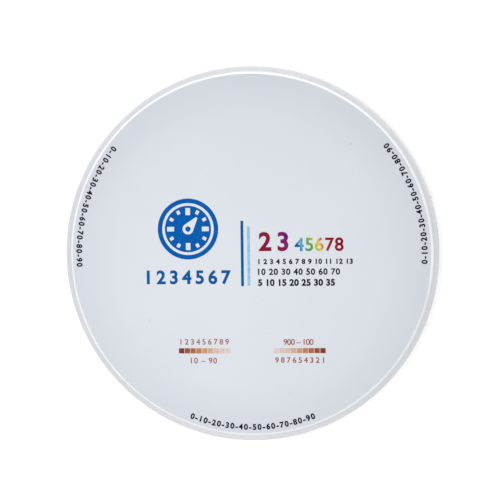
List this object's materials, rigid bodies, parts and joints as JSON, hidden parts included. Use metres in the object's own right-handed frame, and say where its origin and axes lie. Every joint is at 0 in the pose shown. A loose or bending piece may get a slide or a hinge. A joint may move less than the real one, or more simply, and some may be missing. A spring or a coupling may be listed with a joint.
{
  "type": "dental milling disc",
  "caption": "Round ceramic blank with a stepped clamping rim, from which crowns and bridges are milled.",
  "frame": {"origin": "centre of the lower, plain face, which the disc lies on", "axes": "+Z along the disc's axis, out of the printed face; +Y towards the top of the print, +X to its right"},
  "size_m": [0.0984, 0.0985, 0.012],
  "materials": {
    "zirconia_ceramic": "matte, chalky, pre-sintered",
    "bright_blue_ink": "pad-printed ink film, satin",
    "deep_blue_ink": "pad-printed ink film, satin",
    "pale_blue_ink": "pad-printed ink film, satin",
    "rainbow_ink": "pad-printed ink film in colours that run from crimson through blue and green to orange",
    "black_ink": "pad-printed ink film, satin",
    "rust_ink": "pad-printed ink film, satin",
    "shade_scale_ink": "pad-printed ink film in nine steps from dark brown to pale beige"
  },
  "bodies": {
    "root": {"milling_disc": "zirconia_ceramic"}
  },
  "joints": []
}
